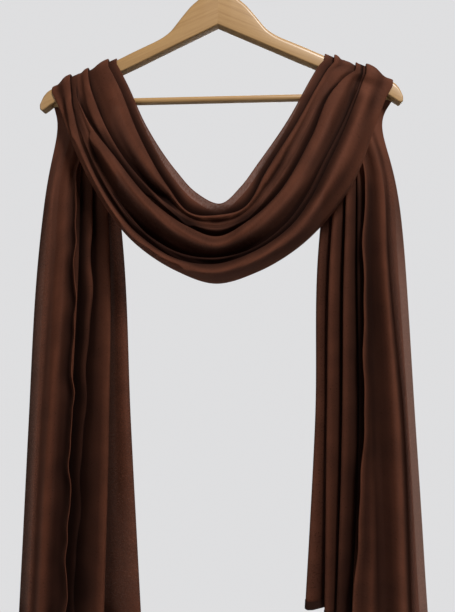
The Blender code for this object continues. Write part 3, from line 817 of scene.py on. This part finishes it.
def add_mesh(name, points, faces, look):
    """A smooth mesh of one look, from points in millimetres."""
    mesh = bpy.data.meshes.new(name)
    mesh.from_pydata([tuple(p) for p in points * MM], [], faces)
    mesh.polygons.foreach_set("use_smooth", [True] * len(mesh.polygons))
    mesh.materials.append(look)
    return add_object(name, mesh)


def add_attribute(mesh, name, kind, slot, values):
    attribute = mesh.attributes.new(name, kind, "POINT")
    attribute.data.foreach_set(slot, values.astype(np.float32).ravel())


def add_sheet(name, grid, look, shade=None, sheer=None):
    """One layer of cloth through the grid, with its own cloth coordinates in metres."""
    rows, samples, _ = grid.shape
    faces = []
    for i in range(rows - 1):
        for j in range(samples - 1):
            a = i * samples + j
            faces.append((a, a + samples, a + samples + 1, a + 1))
    obj = add_mesh(name, grid.reshape(-1, 3), faces, look)
    mesh = obj.data
    widths = np.linalg.norm(np.diff(grid, axis=1), axis=2).mean(axis=0)
    lengths = np.linalg.norm(np.diff(grid, axis=0), axis=2).mean(axis=1)
    s = np.concatenate([[0.0], np.cumsum(widths)]) * MM
    t = np.concatenate([[0.0], np.cumsum(lengths)]) * MM
    coordinates = np.stack(np.meshgrid(s, t), axis=-1).reshape(-1, 2)
    loops = np.zeros(len(mesh.loops), np.int32)
    mesh.loops.foreach_get("vertex_index", loops)
    layer = mesh.uv_layers.new(name="cloth")
    layer.data.foreach_set("uv", coordinates[loops].astype(np.float32).ravel())
    # Point attributes: the painted shade of the hollows, and how much more light goes through
    for label, values in (("hollow", shade), ("sheer", sheer)):
        if values is None:
            values = np.zeros((rows, samples))
        # The rolled edges take the value of the last column beside them.
        spare = samples - values.shape[1]
        values = np.pad(values, ((0, 0), (spare // 2, spare - spare // 2)), mode="edge")
        add_attribute(mesh, label, "FLOAT", "value", values)
    mesh.update()
    return obj


def add_rings(name, rings, look, grain):
    """A closed solid through rings of the same size, with grain coordinates in metres."""
    count = len(rings[0])
    faces = []
    for i in range(len(rings) - 1):
        for j in range(count):
            k = (j + 1) % count
            faces.append((i * count + j, i * count + k, (i + 1) * count + k, (i + 1) * count + j))
    last = (len(rings) - 1) * count
    faces.append(tuple(range(count - 1, -1, -1)))
    faces.append(tuple(range(last, last + count)))
    obj = add_mesh(name, np.array(rings, float).reshape(-1, 3), faces, look)
    add_attribute(obj.data, "grain", "FLOAT_VECTOR", "vector", np.array(grain, float) * MM)
    obj.data.update()
    return obj


class Shader:
    """The node tree of a material or world, with short calls that add and join its nodes."""

    def __init__(self, owner, output="ShaderNodeOutputMaterial"):
        self.owner = owner
        owner.use_nodes = True
        self.tree = owner.node_tree
        self.tree.nodes.clear()
        self.output = self.add(output)

    def add(self, kind, settings=None, **inputs):
        """A node. In the names of inputs _ is a space, and i0 and i1 are inputs by number."""
        node = self.tree.nodes.new(kind)
        for key, value in (settings or {}).items():
            setattr(node, key, value)
        for key, value in inputs.items():
            self.put(node, key.replace("_", " "), value)
        return node

    def put(self, node, key, value):
        by_number = key[0] == "i" and key[1:].isdigit()
        socket = node.inputs[int(key[1:])] if by_number else node.inputs[key]
        if isinstance(value, bpy.types.NodeSocket):
            self.tree.links.new(value, socket)
        else:
            socket.default_value = value

    def maths(self, operation, a, b=0.0):
        return self.add("ShaderNodeMath", {"operation": operation}, i0=a, i1=b).outputs[0]

    def mix(self, share, first, second):
        return self.add("ShaderNodeMixShader", Fac=share, i1=first, i2=second).outputs[0]

    def surface(self, **inputs):
        return self.add("ShaderNodeBsdfPrincipled", **inputs).outputs[0]

    def attribute(self, name, output):
        return self.add("ShaderNodeAttribute", {"attribute_name": name}).outputs[output]

    def noise(self, place, scale, detail, roughness):
        values = {"Scale": scale, "Detail": detail, "Roughness": roughness}
        return self.add("ShaderNodeTexNoise", Vector=place, **values).outputs["Fac"]

    def stretched(self, place, scale):
        return self.add("ShaderNodeMapping", Vector=place, Scale=scale).outputs[0]

    def ramp(self, value, stops):
        node = self.add("ShaderNodeValToRGB", Fac=value)
        elements = node.color_ramp.elements
        while len(elements) < len(stops):
            elements.new(0.5)
        for element, (place, colour) in zip(elements, stops):
            element.position = place
            element.color = (*colour, 1.0)
        return node.outputs["Color"]

    def finish(self, surface):
        self.put(self.output, "Surface", surface)
        return self.owner


def chiffon(name, tint, density):
    """Thin crinkled chiffon: threads, a soft sheen, light that shows through."""
    shader = Shader(bpy.data.materials.new(name))
    uv = shader.add("ShaderNodeUVMap", {"uv_map": "cloth"}).outputs["UV"]
    parts = shader.add("ShaderNodeSeparateXYZ", Vector=uv).outputs
    turns = 2 * math.pi / THREAD_PITCH
    warp = shader.maths("SINE", shader.maths("MULTIPLY", parts["X"], turns))
    weft = shader.maths("SINE", shader.maths("MULTIPLY", parts["Y"], turns))
    weave = shader.maths("MULTIPLY", warp, weft)
    crinkle = shader.noise(uv, *CRINKLE_NOISE)
    cloudy = shader.noise(uv, *CLOUD_NOISE)
    mottle = shader.noise(uv, *MOTTLE_NOISE)
    # Painted shade of the hollows between folds, read from the mesh
    hollow = shader.attribute("hollow", "Fac")
    deep = shader.maths("MULTIPLY", hollow, hollow)

    # The cloth itself: rough, with painted shade in the hollows that darkens its colour and mixes
    # in a dark dull surface, with some light from behind
    grain = shader.maths("ADD", shader.maths("MULTIPLY", weave, WEAVE_HEIGHT), crinkle)
    height = shader.maths("ADD", grain, shader.maths("MULTIPLY", mottle, MOTTLE_HEIGHT))
    bump = shader.add("ShaderNodeBump", Strength=0.25, Distance=0.0003, Height=height)
    dark, light = (tuple(min(1.0, c * tone) for c in tint) for tone in CLOUD_TONES)
    colour = shader.ramp(cloudy, [(0.35, dark), (0.65, light)])
    # Painted shade: the colour is darkened in the hollows
    tone = shader.add("ShaderNodeMapRange", Value=hollow, To_Min=1.0, To_Max=PAINTED_SHADE_TONE)
    scale = {"operation": "SCALE"}
    shaded_colour = shader.add("ShaderNodeVectorMath", scale, i0=colour, Scale=tone.outputs[0])
    body = shader.surface(
        Base_Color=shaded_colour.outputs[0],
        Roughness=0.82,
        Normal=bump.outputs["Normal"],
        Specular_IOR_Level=0.15,
        Sheen_Weight=0.04,
        Sheen_Roughness=0.45,
        Sheen_Tint=SHEEN_TINT,
    )
    glow = shader.add("ShaderNodeBsdfTranslucent", Color=THROUGH_COLOUR)
    lit = shader.mix(THROUGH_SHARE, body, glow.outputs[0])
    # A dark dull surface mixed in as painted shade in the hollows
    painted_dark = shader.add("ShaderNodeBsdfDiffuse", Color=PAINTED_SHADE_COLOUR)
    painted_dark_share = shader.maths("MULTIPLY", deep, PAINTED_SHADE_DARK_MIX)
    cloth = shader.mix(painted_dark_share, lit, painted_dark.outputs[0])

    # The openings of its weave, closed further by the painted shade in the hollows
    threads = shader.maths("MULTIPLY", shader.maths("ABSOLUTE", weave), THREAD_CLOSING)
    sheer = shader.attribute("sheer", "Fac")
    closed = shader.maths("MULTIPLY", deep, PAINTED_SHADE_CLOSING)
    uneven = shader.maths("MULTIPLY", shader.maths("SUBTRACT", mottle, 0.5), MOTTLE_OPENING)
    more = shader.maths("ADD", threads, sheer)
    gaps = shader.maths("ADD", more, shader.maths("ADD", closed, uneven))
    settings = {"operation": "ADD", "use_clamp": True}
    opening = shader.add("ShaderNodeMath", settings, i0=gaps, i1=1.0 - density)
    clear = shader.add("ShaderNodeBsdfTransparent", Color=CLEAR_COLOUR)
    return shader.finish(shader.mix(opening.outputs[0], cloth, clear.outputs[0]))


def wood(name, light, dark):
    """Varnished pale wood with its grain along the piece."""
    shader = Shader(bpy.data.materials.new(name))
    grain = shader.attribute("grain", "Vector")
    figure = shader.noise(shader.stretched(grain, FIGURE_GRAIN), 1.0, 4.0, 0.55)
    pores = shader.noise(shader.stretched(grain, PORE_GRAIN), 1.0, 2.0, 0.5)
    mixed = shader.maths("ADD", shader.maths("MULTIPLY", pores, PORE_SHARE), figure)
    bump = shader.add("ShaderNodeBump", Strength=0.15, Distance=0.0002, Height=mixed)
    body = shader.surface(
        Base_Color=shader.ramp(mixed, [(0.42, dark), (0.78, light)]),
        Roughness=0.42,
        Normal=bump.outputs["Normal"],
        Coat_Weight=0.2,
        Coat_Roughness=0.25,
    )
    return shader.finish(body)


def steel(name):
    """Polished wire with faint drawing marks."""
    shader = Shader(bpy.data.materials.new(name))
    grain = shader.attribute("grain", "Vector")
    marks = shader.noise(shader.stretched(grain, STEEL_GRAIN), 1.0, 2.0, 0.5)
    rough = shader.add("ShaderNodeMapRange", Value=marks, To_Min=0.16, To_Max=0.32)
    body = shader.surface(
        Base_Color=STEEL_COLOUR,
        Roughness=rough.outputs[0],
        Metallic=1.0,
    )
    return shader.finish(body)


def hanger_ring(x, top, bottom):
    """Section of the wooden body at x: a crowned top, flat faces and rounded bottom edges."""
    half = HANGER_HALF_THICKNESS
    height = top - bottom
    crown = min(ARM_TOP_CROWN, 0.45 * height)
    foot = min(ARM_BOTTOM_CROWN, 0.2 * height)
    ring = []
    for n in range(19):
        angle = math.pi * n / 18
        ring.append((x, -half * math.cos(angle), top - crown + crown * math.sin(angle)))
    quarter = [0.5 * math.pi * n / 6 for n in range(7)]
    for angle in quarter:
        y = half - foot + foot * math.cos(angle)
        ring.append((x, y, bottom + foot - foot * math.sin(angle)))
    for angle in quarter:
        y = -half + foot - foot * math.sin(angle)
        ring.append((x, y, bottom + foot - foot * math.cos(angle)))
    return ring


def hanger_body(look):
    """The wooden body, in two halves that meet at a glued joint in the middle."""
    distances = [row[0] for row in HANGER_OUTLINE]
    edges = [row[1:] for row in HANGER_OUTLINE]
    arm = np.linspace(GLUE_HALF_GAP, 200.0, 110)
    spots = np.concatenate([arm, np.linspace(202.0, distances[-1], 16)])
    slope = math.atan(ARM_SLOPE)
    rings = []
    grain = []
    for side in (-1, 1):
        for distance in spots[::side]:
            top, bottom = through(distance, distances, edges)
            ring = hanger_ring(side * distance, top, bottom)
            rings.append(ring)
            for x, y, z in ring:
                away = abs(x) * math.cos(slope) + z * math.sin(slope)
                rise = z * math.cos(slope) - abs(x) * math.sin(slope)
                # Each half has its own stretch of grain.
                grain.append((away + 700.0 * (side + 1), rise, y))
    return add_rings("wooden_body", rings, look, grain)


def bottom_edge(x):
    """Height of the bottom edge of an arm at x."""
    xs = [row[0] for row in HANGER_OUTLINE]
    return float(np.interp(abs(x), xs, [row[2] for row in HANGER_OUTLINE]))


def hanger_bar(look):
    """The dowel between the arms, cut to the slope of their lower edges."""
    sides = 32
    ends = []
    for side in (-1, 1):
        ring = []
        for n in range(sides):
            angle = 2 * math.pi * n / sides
            z = BAR_HEIGHT + BAR_RADIUS * math.sin(angle)
            x = 150.0
            while bottom_edge(x) > z + BAR_GAP:
                x += 0.05
            ring.append((side * x, BAR_RADIUS * math.cos(angle), z))
        ends.append(np.array(ring))
    rings = [ends[0] + (ends[1] - ends[0]) * share for share in np.linspace(0.0, 1.0, 41)]
    return add_rings("trouser_bar", rings, look, np.array(rings).reshape(-1, 3))


def hook(look):
    """The hook: a stem, a short reverse bend and an open loop with a rounded tip."""
    path = [(0.0, HOOK_STEM_FOOT), (0.0, -60.0), (0.0, HOOK_STEM_TOP)]
    centre = HOOK_WIRE_RADIUS - HOOK_LOOP_RADIUS
    start, stop = (math.radians(angle) for angle in HOOK_LOOP_DEG)

    def on_loop(angle):
        return HOOK_LOOP_RADIUS * math.cos(angle), centre + HOOK_LOOP_RADIUS * math.sin(angle)

    x, z = on_loop(start)
    for share in (0.35, 0.7):
        path.append((x * ease(share), HOOK_STEM_TOP + (z - HOOK_STEM_TOP) * share))
    path += [on_loop(start + (stop - start) * n / 22) for n in range(23)]
    path = smooth_across(np.array(path)[None], [6] * (len(path) - 1))[0]
    tangent = unit(np.gradient(path, axis=0))
    sides = 24
    rings = []
    grain = []
    length = 0.0
    for n, ((x, z), (tx, tz)) in enumerate(zip(path, tangent)):
        left = len(path) - 1 - n
        tip = 1.0 if left > 5 else math.sqrt(1.0 - (1.0 - (left + 0.6) / 6.6) ** 2)
        radius = HOOK_WIRE_RADIUS * tip
        if n:
            length += float(np.linalg.norm(path[n] - path[n - 1]))
        ring = []
        for k in range(sides):
            angle = 2 * math.pi * k / sides
            out = radius * math.cos(angle)
            ring.append((x + tz * out, radius * math.sin(angle), z - tx * out))
            grain.append((length, out, radius * math.sin(angle)))
        rings.append(ring)
    return add_rings("wire_hook", rings, look, grain)


def make_world():
    """Pale surroundings: what is seen behind the object, and a softer light from all round."""
    world = bpy.data.worlds.new("world")
    bpy.context.scene.world = world
    shader = Shader(world, "ShaderNodeOutputWorld")
    seen = shader.add("ShaderNodeBackground", Color=BACKDROP_COLOUR)
    light = shader.add("ShaderNodeBackground", Color=AROUND_COLOUR, Strength=AROUND_STRENGTH)
    rays = shader.add("ShaderNodeLightPath").outputs["Is Camera Ray"]
    shader.finish(shader.mix(rays, light.outputs[0], seen.outputs[0]))


def area_light(name, place, target, size, power, colour):
    data = bpy.data.lights.new(name, "AREA")
    data.shape = "DISK"
    data.size = size
    data.energy = power
    data.color = colour
    lamp = add_object(name, data)
    lamp.location = place
    lamp.rotation_euler = (Vector(target) - Vector(place)).to_track_quat("-Z", "Y").to_euler()


def make_camera():
    data = bpy.data.cameras.new("camera")
    data.lens = CAMERA_LENS
    data.sensor_width = CAMERA_SENSOR_WIDTH
    data.clip_start, data.clip_end = CAMERA_CLIP
    camera = add_object("camera", data)
    camera.location = CAMERA_PLACE
    camera.rotation_euler = (math.radians(90.0), 0.0, math.radians(CAMERA_TURN_DEG))
    bpy.context.scene.camera = camera


def make_floor():
    """A pale round floor below the stole."""
    low, _ = cad_bounds
    turns = [2 * math.pi * n / FLOOR_SIDES for n in range(FLOOR_SIDES)]
    ring = [
        (FLOOR_RADIUS * math.cos(a), FLOOR_RADIUS * math.sin(a), low.z - FLOOR_DROP) for a in turns
    ]
    mesh = bpy.data.meshes.new("floor")
    mesh.from_pydata(ring, [], [tuple(range(FLOOR_SIDES))])
    shader = Shader(bpy.data.materials.new("floor"))
    body = shader.surface(Base_Color=FLOOR_COLOUR, Roughness=0.8)
    mesh.materials.append(shader.finish(body))
    floor = add_object("floor", mesh)


def dress_swag(swag, shade, look):
    front = add_sheet("chiffon_swag", with_rolled_edges(swag), look, shade)
    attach(front, "root")
    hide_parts("stole_front_swag", "stole_left_shoulder", "stole_right_shoulder")


def dress_tail(side, label, folds, hem, top_row, look, hem_look):
    """A tail and the sewn hem at its foot, which is two layers round the last rows."""
    cut = 1.0 - HEM_DEPTH / TAIL_LENGTH
    shares = [cut * (n / (TAIL_ROWS - 1)) ** TAIL_ROW_POWER for n in range(TAIL_ROWS)]
    shares += list(np.linspace(cut, 1.0, HEM_ROWS)[1:])
    whole, shade, sheer = tail_grid(side, folds, hem, shares, top_row)
    body = with_rolled_edges(whole[:TAIL_ROWS])
    tail = add_sheet("chiffon_tail_" + label, body, look, shade[:TAIL_ROWS], sheer[:TAIL_ROWS])
    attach(tail, "root")
    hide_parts("stole_" + label + "_tail")
    rows = whole[TAIL_ROWS - 2 :]
    normal = unit(np.cross(np.gradient(rows, axis=1), np.gradient(rows, axis=0)))
    band = np.concatenate([rows + 0.5 * normal, (rows - 0.5 * normal)[::-1]])
    hem_band = add_sheet("sewn_hem_" + label, band, hem_look)
    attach(hem_band, "root")
    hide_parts("hem_" + label)


def dress_hanger():
    wood_look = wood("pale_wood", WOOD_LIGHT, WOOD_DARK)
    bar_light, bar_dark = (tuple(c * BAR_TONE for c in tone) for tone in (WOOD_LIGHT, WOOD_DARK))
    bar_look = wood("bar_wood", bar_light, bar_dark)
    for piece, node, slot in (
        (hanger_body(wood_look), "hanger_body", "wood"),
        (hanger_bar(bar_look), "hanger_bar", "bar_wood"),
        (hook(steel("polished_steel")), "hanger_hook", "steel"),
    ):
        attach(piece, "root")
        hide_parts(node)


def main():
    bpy.context.scene.view_settings.view_transform = "Standard"
    make_camera()
    make_world()
    make_floor()
    for light in LIGHTS:
        area_light(*light)

    chiffon_look = chiffon("chiffon", CHIFFON_TINT, CHIFFON_DENSITY)
    hem_tint = tuple(c * HEM_TONE for c in CHIFFON_TINT)
    hem_look = chiffon("chiffon_hem", hem_tint, HEM_DENSITY)
    swag, shade = swag_grid()
    dress_swag(swag, shade, chiffon_look)
    dress_tail(-1, "left", LEFT_TAIL_FOLDS, LEFT_HEM, swag[0], chiffon_look, hem_look)
    dress_tail(1, "right", RIGHT_TAIL_FOLDS, RIGHT_HEM, swag[-1], chiffon_look, hem_look)
    dress_hanger()


main()
